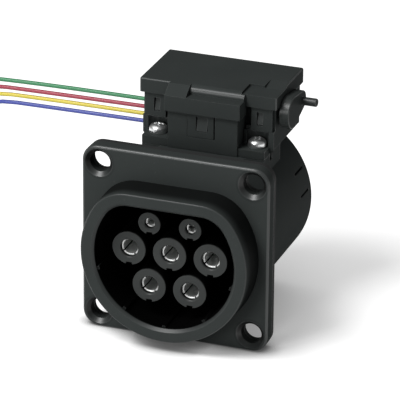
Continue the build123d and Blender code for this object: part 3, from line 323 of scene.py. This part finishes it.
CONTACT_FACE = -8.65
CONTACT_BACK = -(37.5 - CONTACT_FACE)
SHOULDER_LENGTH = 3.3
SHOULDER_HEIGHT = 0.7
FIRST_SLOT = 35.0
NOSE_LEAN = 0.22
FINGER_CURVE = 1.4
BARREL_DEPTH = 3
BODY_CHAMFER = 0.2
BODY_SIDES = 72
POWER = dict(outer=3.95, bore=3.02, slot=0.8, slot_depth=18.0, bore_depth=24.0, barrel=2.9, barrel_bore=1.9,
             barrel_length=14.1)
SIGNAL = dict(outer=2.45, bore=1.52, slot=0.5, slot_depth=12.0, bore_depth=16.0, barrel=1.6, barrel_bore=0.9,
              barrel_length=10.1)
CONTACTS = {
    "earth": (POWER, 0.0, 0.0), "neutral": (POWER, -16.0, 0.0), "line_1": (POWER, 16.0, 0.0),
    "line_2": (POWER, -8.0, -13.856), "line_3": (POWER, 8.0, -13.856),
    "pilot": (SIGNAL, -8.0, 11.17), "proximity": (SIGNAL, 8.0, 11.17),
}


def contact_finger(outer, inner, length, first, last):
    """One spring finger of a contact about the Z axis, its mouth at height 0 and its root at -length.

    The section is a thin wall with a rounded nose that leans in towards the pin, carried round from the
    first to the last angle; both ends are flat.
    """
    nose = np.linspace(0, np.pi, 9)
    wall = outer - inner
    middle = (outer + inner) / 2 - NOSE_LEAN
    tip = np.column_stack([middle + wall / 2 * np.cos(nose), -wall / 2 + wall / 2 * np.sin(nose)])
    depth = np.linspace(wall, length, 12)[:, None]
    share = (depth / length) ** FINGER_CURVE
    inside = np.hstack([inner - NOSE_LEAN * (1 - share), -depth])
    outside = np.hstack([outer - NOSE_LEAN * (1 - share), -depth])[::-1]
    section = np.vstack([outside, tip, inside])
    angle = np.radians(np.linspace(first, last, 15))[:, None]
    radius, height = section[:, 0][None, :], section[:, 1][None, :]
    points = np.stack([radius * np.cos(angle), radius * np.sin(angle), height + 0 * angle], -1)
    rows, count, _ = points.shape
    faces = band_faces(rows, count)
    faces += [list(range(count)), list(range((rows - 1) * count, rows * count))[::-1]]
    return points.reshape(-1, 3), faces


def contact_piece(name, x, z, outer, bore, slot, slot_depth, bore_depth, barrel, barrel_bore, barrel_length):
    """A contact: four spring fingers, and one profile turned about the Z axis for the rest.

    The profile goes from the bored body over the shoulder to a hollow barrel for the contact's wire.
    """
    gap = math.degrees(slot / outer) / 2
    parts = [contact_finger(outer, bore, slot_depth, first + gap, first + 90 - gap)
             for first in FIRST_SLOT + np.arange(4) * 90.0]
    rim, shoulder = outer + SHOULDER_HEIGHT, CONTACT_BACK + SHOULDER_LENGTH
    end, chamfer = CONTACT_BACK - barrel_length, BODY_CHAMFER
    body = [(0, -bore_depth), (bore, -bore_depth), (bore, chamfer - slot_depth), (bore + 0.1, -slot_depth),
            (outer - 0.1, -slot_depth), (outer, -slot_depth - chamfer), (outer, shoulder), (rim, shoulder),
            (rim, CONTACT_BACK), (barrel, CONTACT_BACK), (barrel, end + chamfer), (barrel - chamfer, end),
            (barrel_bore, end), (barrel_bore, CONTACT_BACK - BARREL_DEPTH), (0, CONTACT_BACK - BARREL_DEPTH)]
    parts.append(closed_turning(turned(body[::-1], BODY_SIDES)))
    local, faces = joined(parts)
    placed = np.column_stack([x + local[:, 0], CONTACT_FACE - local[:, 2], z + local[:, 1]])
    return add_mesh(name, placed, faces)


contacts = {name: contact_piece(f"spring_contact_{name}", x, z, **sizes)
            for name, (sizes, x, z) in CONTACTS.items()}


# Nodes of the finishes

COARSE_GRAIN = 0.27
FINE_SHARE, COARSE_SHARE = 0.65, 0.35
SPECK_SCALE = 900.0
SPECK_RANGE = (0.70, 0.70 + 1 / 9)
PATCH_SCALE = 120.0
EDGE_TILT = (0.01, 0.09)
# Painted shade round the contact cavity and on the collar's outer side
INWARD_LIMIT = 0.5
COLLAR_SHADE = 0.8
# Painted shade in the bolt holes' countersinks
HOLE_PLACE = 30.0
PIT_REACH = 6.4
PIT_START, PIT_DARK, PIT_END = -5.1, -4.5, -0.2
PIT_SHADE = 0.92
PIT_OPEN = 0.35
PIT_FACING_UP = (0.2, 0.65)


def added(tree, kind, inputs, **settings):
    """A new node of a kind with its settings, each input linked to a socket or set to a value."""
    node = tree.nodes.new(kind)
    for label, value in settings.items():
        setattr(node, label, value)
    for label, value in inputs.items():
        if isinstance(value, bpy.types.NodeSocket):
            tree.links.new(value, node.inputs[label])
        else:
            node.inputs[label].default_value = value
    return node


def new_group(name, inputs, outputs):
    """An empty shader node group with named inputs and outputs; an input given as a tuple is a vector."""
    group = bpy.data.node_groups.new(name, "ShaderNodeTree")
    for label, value in inputs.items():
        kind = "NodeSocketVector" if isinstance(value, tuple) else "NodeSocketFloat"
        group.interface.new_socket(label, in_out="INPUT", socket_type=kind).default_value = value
    for label in outputs:
        group.interface.new_socket(label, in_out="OUTPUT", socket_type="NodeSocketFloat")
    return group, group.nodes.new("NodeGroupInput").outputs, group.nodes.new("NodeGroupOutput").inputs


def maths(tree, operation, *values):
    """A Math node's result."""
    return added(tree, "ShaderNodeMath", dict(enumerate(values)), operation=operation).outputs[0]


def noise(tree, vector, scale, detail, roughness=0.5):
    """A noise value of the given scale in cells per metre."""
    inputs = {"Vector": vector, "Scale": scale, "Detail": detail, "Roughness": roughness}
    return added(tree, "ShaderNodeTexNoise", inputs).outputs["Fac"]


def parts_of(tree, vector):
    """A vector's X, Y and Z parts."""
    return added(tree, "ShaderNodeSeparateXYZ", {0: vector}).outputs


def ranged(tree, value, low, high, given=(0.25, 0.75), shape="LINEAR"):
    """A value spread from the range given to the range between low and high."""
    inputs = {"Value": value, "From Min": given[0], "From Max": given[1], "To Min": low, "To Max": high}
    return added(tree, "ShaderNodeMapRange", inputs, interpolation_type=shape).outputs["Result"]


def mixed(tree, factor, first, second):
    """A mix from the first colour to the second, by a factor that changes over the surface."""
    ends = [end if isinstance(end, bpy.types.NodeSocket) else (*end, 1) for end in (first, second)]
    inputs = {"Factor": factor, "A": ends[0], "B": ends[1]}
    return added(tree, "ShaderNodeMix", inputs, data_type="RGBA").outputs["Result"]


def grouped(tree, group, inputs):
    """The outputs of a node group used in a tree."""
    return added(tree, "ShaderNodeGroup", inputs, node_tree=group).outputs


def flat_length(tree, first, second):
    """The length of a flat vector: the root of the sum of its two parts' squares."""
    squares = [maths(tree, "MULTIPLY", part, part) for part in (first, second)]
    return maths(tree, "SQRT", maths(tree, "ADD", *squares))


def make_moulded_grain():
    """Fine spark-eroded grain of moulded plastic: two noises of different scale, and their slow drift."""
    defaults = {"Vector": (0, 0, 0), "Grain": 2600.0, "Drift": 55.0}
    group, given, result = new_group("moulded_grain", defaults, ["Height", "Drift"])
    fine = noise(group, given["Vector"], given["Grain"], 3.0, 0.6)
    coarse = noise(group, given["Vector"], maths(group, "MULTIPLY", given["Grain"], COARSE_GRAIN), 2.0)
    heights = [maths(group, "MULTIPLY", fine, FINE_SHARE), maths(group, "MULTIPLY", coarse, COARSE_SHARE)]
    group.links.new(maths(group, "ADD", *heights), result["Height"])
    group.links.new(noise(group, given["Vector"], given["Drift"], 3.0, 0.55), result["Drift"])
    return group


def make_fine_dust():
    """Dust and light handling marks: sparse specks, and soft patches that take the shine off."""
    group, given, result = new_group("fine_dust", {"Vector": (0, 0, 0), "Amount": 0.3}, ["Specks", "Patches"])
    speck = ranged(group, noise(group, given["Vector"], SPECK_SCALE, 1.0), 0.0, 1.0, SPECK_RANGE)
    patch = noise(group, given["Vector"], PATCH_SCALE, 4.0, 0.6)
    group.links.new(maths(group, "MULTIPLY", speck, given["Amount"]), result["Specks"])
    group.links.new(maths(group, "MULTIPLY", patch, given["Amount"]), result["Patches"])
    return group


def make_edge_polish():
    """Edges that handling and the mould have polished: 1 on rounded edges, 0 on flat faces.

    The mask grows with 1 minus the normal's largest part along an axis. With Round at 1 the part across
    the Y axis counts as one, so that the side of a tube about that axis is no edge. The part along Slope
    counts as one too, so that a sloping face with that normal is no edge.
    """
    defaults = {"Normal": (0, 0, 0), "Round": 0.0, "Slope": (0, 0, 0)}
    group, given, result = new_group("edge_polish", defaults, ["Polish"])
    x, y, z = (maths(group, "ABSOLUTE", part) for part in parts_of(group, given["Normal"]))
    across = maths(group, "MULTIPLY", flat_length(group, x, z), given["Round"])
    along = {0: given["Normal"], 1: given["Slope"]}
    sloping = added(group, "ShaderNodeVectorMath", along, operation="DOT_PRODUCT").outputs["Value"]
    largest = x
    for part in (y, z, across, sloping):
        largest = maths(group, "MAXIMUM", largest, part)
    tilt = maths(group, "SUBTRACT", 1.0, largest)
    group.links.new(ranged(group, tilt, 0.0, 1.0, EDGE_TILT, "SMOOTHSTEP"), result["Polish"])
    return group


def make_painted_cavity_shade():
    """Painted shade round the contact cavity, where little light gets in, as a value from 0 to 1.

    Surfaces that face the cavity's axis get painted shade from Start to End along Y, and with All at 1 every
    surface does. The collar's outer side gets painted shade part of the way from its Brim to its Foot, where
    it meets the flange.
    """
    defaults = {"Vector": (0, 0, 0), "Normal": (0, 0, 0), "Start": -16 * MM, "End": -8 * MM,
                "Brim": -16 * MM, "Foot": -5 * MM, "All": 0.0}
    group, given, result = new_group("painted_socket_shade", defaults, ["Depth"])
    place = parts_of(group, given["Vector"])
    facing = parts_of(group, given["Normal"])
    outward = maths(group, "ADD", *(maths(group, "MULTIPLY", place[axis], facing[axis]) for axis in "XZ"))
    inside = maths(group, "MAXIMUM", maths(group, "LESS_THAN", outward, INWARD_LIMIT * MM), given["All"])
    outside = maths(group, "SUBTRACT", 1.0, inside)
    behind = ranged(group, place["Y"], 0.0, 1.0, (given["Start"], given["End"]), "SMOOTHSTEP")
    side = ranged(group, place["Y"], 0.0, COLLAR_SHADE, (given["Brim"], given["Foot"]), "SMOOTHSTEP")
    shades = [maths(group, "MULTIPLY", behind, inside), maths(group, "MULTIPLY", side, outside)]
    group.links.new(maths(group, "ADD", *shades), result["Depth"])
    return group


def make_painted_pit_shade():
    """Painted shade in the four bolt holes' countersinks, as a value from 0 to 1.

    It is 0 beyond PIT_REACH from a hole's axis and on the flange's faces, and grows with the depth into the
    countersink, less where the cone faces up into the light.
    """
    group, given, result = new_group("painted_bolt_shade", {"Vector": (0, 0, 0), "Normal": (0, 0, 0)}, ["Depth"])
    place = parts_of(group, given["Vector"])
    off_axis = [maths(group, "SUBTRACT", maths(group, "ABSOLUTE", place[axis]), HOLE_PLACE * MM)
                for axis in "XZ"]
    near = maths(group, "LESS_THAN", flat_length(group, *off_axis), PIT_REACH * MM)
    within = maths(group, "MULTIPLY", near, maths(group, "LESS_THAN", place["Y"], PIT_END * MM))
    sunk = ranged(group, place["Y"], 0.0, PIT_SHADE, (PIT_START * MM, PIT_DARK * MM))
    open_up = ranged(group, parts_of(group, given["Normal"])["Z"], 1.0, PIT_OPEN, PIT_FACING_UP)
    shade = maths(group, "MULTIPLY", maths(group, "MULTIPLY", within, sunk), open_up)
    group.links.new(shade, result["Depth"])
    return group


GRAIN = make_moulded_grain()
DUST = make_fine_dust()
POLISH = make_edge_polish()
PAINTED_CAVITY_SHADE = make_painted_cavity_shade()
PAINTED_PIT_SHADE = make_painted_pit_shade()


# Finishes

EDGE_ROUND = 0.35
GRAIN_HEIGHT = 0.04
TOOL_MARK_HEIGHT = 0.02
COAT_ROUGHNESS = 0.38
SHINE_DRIFT = 0.05
PATCH_ROUGHNESS = 0.15
METAL_DRIFT = 260.0
METAL_SHINIER, METAL_DULLER = 0.06, 0.08
BEVEL_SAMPLES = 6
DUST_COLOUR = (0.16, 0.16, 0.155)
BLACK = (0, 0, 0)
# The black that painted shade is mixed towards
PAINTED_SHADE_BLACK = (0.0015, 0.0015, 0.0015)


def finish(name):
    """A new material, its node tree and its shader."""
    material = bpy.data.materials.new(name)
    material.use_nodes = True
    return material, material.node_tree, material.node_tree.nodes["Principled BSDF"]


def object_place(tree):
    """The place on the object in its own coordinates."""
    return tree.nodes.new("ShaderNodeTexCoord").outputs["Object"]


def drifting_colour(tree, drift, colour, spread):
    """A colour that drifts by its spread to either side."""
    dark = [part * (1 - spread) for part in colour]
    light = [min(1.0, part * (1 + spread)) for part in colour]
    return mixed(tree, drift, dark, light)


def bumped(tree, shader, height, strength, distance, **over):
    """A bump under the shader's normal, distance millimetres high, over a Normal where one is given."""
    inputs = {"Height": height, "Strength": strength, "Distance": distance * MM, **over}
    tree.links.new(added(tree, "ShaderNodeBump", inputs).outputs["Normal"], shader.inputs["Normal"])


def moulded_plastic(name, colour, rough, grain=2600.0, depth=0.35, gloss=0.5, spread=0.12, dust=0.07,
                    skin=0.0, polish=0.0, round_body=False, cavity=None, slope=(0, 0, 0), pits=False):
    """Moulded plastic: grain in the bump, slow drift in colour and shine, and a little dust.

    Its skin, the smooth film that the mould's wall leaves, is a thin coat over the rougher body, and grows
    to polish along the rounded edges. cavity gives the places along Y of the painted shade round the contact
    cavity, by the labels of painted_socket_shade, and slope is the normal of a sloping face that is no edge.
    With pits the bolt holes' countersinks get painted shade.
    """
    material, tree, shader = finish(name)
    place = object_place(tree)
    bevel = added(tree, "ShaderNodeBevel", {"Radius": EDGE_ROUND * MM}, samples=BEVEL_SAMPLES)
    rounded = bevel.outputs["Normal"]
    facing = added(tree, "ShaderNodeVectorTransform", {"Vector": rounded}, vector_type="NORMAL",
                   convert_from="WORLD", convert_to="OBJECT").outputs["Vector"]
    texture = grouped(tree, GRAIN, {"Vector": place, "Grain": grain})
    film = grouped(tree, DUST, {"Vector": place, "Amount": dust})
    body = mixed(tree, film["Specks"], drifting_colour(tree, texture["Drift"], colour, spread), DUST_COLOUR)
    if cavity:
        inputs = {"Vector": place, "Normal": facing, "All": 0.0 if round_body else 1.0}
        inputs.update({label: value * MM for label, value in cavity.items()})
        # Painted shade: the cavity's depth and the collar's foot mixed towards black
        body = mixed(tree, grouped(tree, PAINTED_CAVITY_SHADE, inputs)["Depth"], body, PAINTED_SHADE_BLACK)
    if pits:
        inputs = {"Vector": place, "Normal": facing}
        # Painted shade: the countersinks mixed towards black
        body = mixed(tree, grouped(tree, PAINTED_PIT_SHADE, inputs)["Depth"], body, PAINTED_SHADE_BLACK)
    tree.links.new(body, shader.inputs["Base Color"])
    shine = ranged(tree, texture["Drift"], rough - SHINE_DRIFT, rough + SHINE_DRIFT)
    worn = maths(tree, "MULTIPLY_ADD", film["Patches"], PATCH_ROUGHNESS, shine)
    tree.links.new(worn, shader.inputs["Roughness"])
    shader.inputs["Specular IOR Level"].default_value = gloss
    if polish:
        inputs = {"Normal": facing, "Round": float(round_body), "Slope": slope}
        coat = ranged(tree, grouped(tree, POLISH, inputs)["Polish"], skin, polish, (0.0, 1.0))
        tree.links.new(coat, shader.inputs["Coat Weight"])
        shader.inputs["Coat Roughness"].default_value = COAT_ROUGHNESS
    bumped(tree, shader, texture["Height"], depth, GRAIN_HEIGHT, Normal=rounded)
    return material


def worked_metal(name, colour, rough, stretch=(1, 1, 1), depth=0.2, scale=900.0, spread=0.06):
    """Plated or drawn metal: tool lines as noise stretched along one axis, in bump, colour and shine."""
    material, tree, shader = finish(name)
    mapping = added(tree, "ShaderNodeMapping", {"Vector": object_place(tree), "Scale": stretch})
    inputs = {"Vector": mapping.outputs["Vector"], "Grain": scale, "Drift": METAL_DRIFT}
    texture = grouped(tree, GRAIN, inputs)
    tree.links.new(drifting_colour(tree, texture["Drift"], colour, spread), shader.inputs["Base Color"])
    shine = ranged(tree, texture["Drift"], rough - METAL_SHINIER, rough + METAL_DULLER)
    tree.links.new(shine, shader.inputs["Roughness"])
    shader.inputs["Metallic"].default_value = 1.0
    bumped(tree, shader, texture["Height"], depth, TOOL_MARK_HEIGHT)
    return material


def insulation(name, colour):
    """Smooth plastic of a wire."""
    return moulded_plastic(name, colour, 0.38, grain=900.0, depth=0.12, spread=0.06, dust=0.05)


COVER_RAMP = np.array((5.2, 3.2))
RAMP_RUN, RAMP_RISE = COVER_RAMP / np.hypot(*COVER_RAMP)
SHELL_BLACK = (0.034, 0.0385, 0.0375)
# Painted shade in the flange's bolt-hole countersinks
SHELL = moulded_plastic("shell_black", SHELL_BLACK, 0.62, gloss=0.0, skin=0.06, polish=1.0, round_body=True,
                        pits=True)
# Painted shade deep in the contact cavity and on the collar's outer side near the flange
SOCKET = moulded_plastic("socket_black", SHELL_BLACK, 0.62, gloss=0.0, skin=0.06, polish=0.55,
                         round_body=True, cavity={"Start": -17.5, "End": -15.4, "Brim": -17.8, "Foot": -12.0})
HOUSING = moulded_plastic("actuator_black", (0.0335, 0.038, 0.037), 0.6, grain=2200.0, gloss=0.0, skin=0.06,
                          polish=1.0, slope=(0.0, -RAMP_RISE, RAMP_RUN))
LEVER = moulded_plastic("lever_black", (0.033, 0.037, 0.036), 0.55, grain=2000.0, gloss=0.0, skin=0.08,
                        polish=0.8)
# Painted shade on every surface of the insert behind the sleeves' mouths
INSERT = moulded_plastic("insert_black", (0.044, 0.047, 0.046), 0.62, grain=3000.0, gloss=0.0, skin=0.05,
                         polish=0.3, cavity={"Start": -10.2, "End": -9.0})
SWITCH = moulded_plastic("switch_black", (0.045, 0.045, 0.047), 0.4)
NATURAL = moulded_plastic("gear_natural", (0.62, 0.60, 0.55), 0.42, spread=0.05, dust=0.05)
GASKET = moulded_plastic("gasket_rubber", (0.018, 0.019, 0.019), 0.78, grain=1500.0, depth=0.5, gloss=0.25)
SEAL = moulded_plastic("seal_rubber", (0.026, 0.027, 0.027), 0.72, grain=1600.0, depth=0.5, gloss=0.25)
BOARD = moulded_plastic("board_lacquer", (0.02, 0.10, 0.045), 0.28, grain=700.0, depth=0.1)
PLATED = worked_metal("silver_plate", (0.74, 0.75, 0.74), 0.56, (1, 0.2, 1), depth=0.15)
ZINC = worked_metal("zinc_plate", (0.80, 0.81, 0.81), 0.36, depth=0.12, scale=1200.0)
STEEL = worked_metal("ground_steel", (0.52, 0.53, 0.54), 0.34, (0.15, 1, 1))
TINNED = worked_metal("tinned_copper", (0.70, 0.70, 0.69), 0.32, (1, 0.3, 1))
INSULATION = {
    "green": insulation("insulation_green", (0.02, 0.20, 0.075)),
    "red": insulation("insulation_red", (0.32, 0.02, 0.05)),
    "yellow": insulation("insulation_yellow", (0.62, 0.52, 0.05)),
    "blue": insulation("insulation_blue", (0.04, 0.06, 0.32)),
}
FINISH_NODES = [
    (SHELL, ["flange_plate", "rear_housing", "rear_cover"]),
    (SOCKET, ["socket_shell"]),
    (HOUSING, ["actuator_housing", "actuator_cover", "gear_frame"]),
    (LEVER, ["release_lever"]),
    (INSERT, ["contact_carrier", "contact_sleeves", "contact_retainer"]),
    (SWITCH, ["position_switch", "switch_plunger"]),
    (NATURAL, ["drive_gear", "idler_gear", "motor_pinion"]),
    (GASKET, ["panel_gasket"]),
    (SEAL, ["wire_seal", "bolt_seal", "shaft_seal", "wire_grommet"]),
    (BOARD, ["circuit_board"]),
    (STEEL, ["release_shaft", "idler_axle", "lock_bolt", "lock_motor"]),
    (ZINC, ["retainer_screws", "housing_screws"]),
    (PLATED, [f"contact_{name}" for name in CONTACTS]),
    (TINNED, [f"wire_ferrule_{colour}" for colour in WIRE_POINTS]),
]
for colour in WIRE_POINTS:
    FINISH_NODES.append((INSULATION[colour], [f"wire_{colour}", f"wire_coil_{colour}"]))


def paint(piece, material):
    """The piece's only material."""
    piece.data.materials.clear()
    piece.data.materials.append(material)


for material, names in FINISH_NODES:
    for name in names:
        for slot in nodes[name].material_slots:
            slot.material = material

paint(screws, ZINC)
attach(screws, "socket")
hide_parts("housing_screws")
for name, piece in contacts.items():
    paint(piece, PLATED)
    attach(piece, "socket")
    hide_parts(f"contact_{name}")
for colour, wire in wires.items():
    collar, pin = ferrules[colour]
    paint(wire, INSULATION[colour])
    paint(collar, INSULATION[colour])
    paint(pin, TINNED)
    for piece in (wire, collar, pin):
        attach(piece, "socket")
    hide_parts(f"wire_{colour}", f"wire_coil_{colour}")
    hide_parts(f"wire_ferrule_{colour}")


# Floor and lamps

FLOOR_HALF = 2500.0
TOUCH_DISTANCE = 7.0
NEAR_DISTANCE = 55.0
SHADE_SAMPLES = 12


def painted_shadow_openness(tree, distance, lowest, given):
    """Painted shadow by ambient occlusion within a distance in mm: lowest under the object, 1 beside it."""
    hidden = added(tree, "ShaderNodeAmbientOcclusion", {"Distance": distance * MM}, samples=SHADE_SAMPLES)
    return ranged(tree, hidden.outputs["AO"], lowest, 1.0, given)


def make_floor(white, glow):
    """A plain white floor that takes the object's shadow from the lamps, with a painted contact shadow in its
    colour and glow, darkest in the few millimetres round a contact.

    Its soft glow is for the camera, mirrors and glass only, and throws no light on the object. It carries a
    painted shadow too, weaker near the object.
    """
    corners = [(x * FLOOR_HALF, y * FLOOR_HALF, FLOOR) for x, y in ((-1, -1), (1, -1), (1, 1), (-1, 1))]
    floor = add_mesh("studio_floor", corners, [(0, 1, 2, 3)])
    material, tree, shader = finish("floor_white")
    path = tree.nodes.new("ShaderNodeLightPath").outputs
    seen = maths(tree, "MAXIMUM", path["Is Camera Ray"], path["Is Glossy Ray"])
    seen = maths(tree, "MAXIMUM", seen, path["Is Transmission Ray"])
    # Painted shadow in the glow, weaker within NEAR_DISTANCE of the object
    seen = maths(tree, "MULTIPLY", seen, painted_shadow_openness(tree, NEAR_DISTANCE, lowest=0.45, given=(0.4, 0.9)))
    # Painted contact shadow in the floor's colour and glow
    painted_contact_shadow = painted_shadow_openness(tree, TOUCH_DISTANCE, lowest=0.25, given=(0.35, 0.95))
    tree.links.new(mixed(tree, painted_contact_shadow, BLACK, (white,) * 3), shader.inputs["Base Color"])
    lit = mixed(tree, maths(tree, "MULTIPLY", seen, painted_contact_shadow), BLACK, (glow,) * 3)
    tree.links.new(lit, shader.inputs["Emission Color"])
    shader.inputs["Emission Strength"].default_value = 1.0
    shader.inputs["Roughness"].default_value = 0.9
    shader.inputs["Specular IOR Level"].default_value = 0.1
    paint(floor, material)


def soft_lamp(name, place, target, size, power):
    """A square soft lamp at place, facing target; lengths in metres, power in watts."""
    data = bpy.data.lights.new(name, "AREA")
    data.shape = "SQUARE"
    data.size = size
    data.energy = power
    back = np.subtract(place, target).astype(float)
    back /= np.linalg.norm(back)
    right = np.cross((0, 0, 1), back)
    right /= np.linalg.norm(right)
    stand(bpy.data.objects.new(name, data), right, np.cross(back, right), back, place)


def make_world(level):
    """Even pale grey light from all round."""
    world = bpy.data.worlds.new("studio")
    bpy.context.scene.world = world
    world.use_nodes = True
    background = world.node_tree.nodes["Background"]
    background.inputs["Color"].default_value = (level, level, level, 1)
    background.inputs["Strength"].default_value = 1.0


make_floor(white=0.92, glow=0.5)
make_world(0.22)
soft_lamp("overhead", place=(-0.42, -0.46, 0.95), target=(0, 0.02, 0), size=0.45, power=10.5)
soft_lamp("front_left", place=(-0.42, -1.32, 0.36), target=(0, 0, 0), size=0.5, power=6.5)

bpy.context.scene.view_settings.view_transform = "Standard"
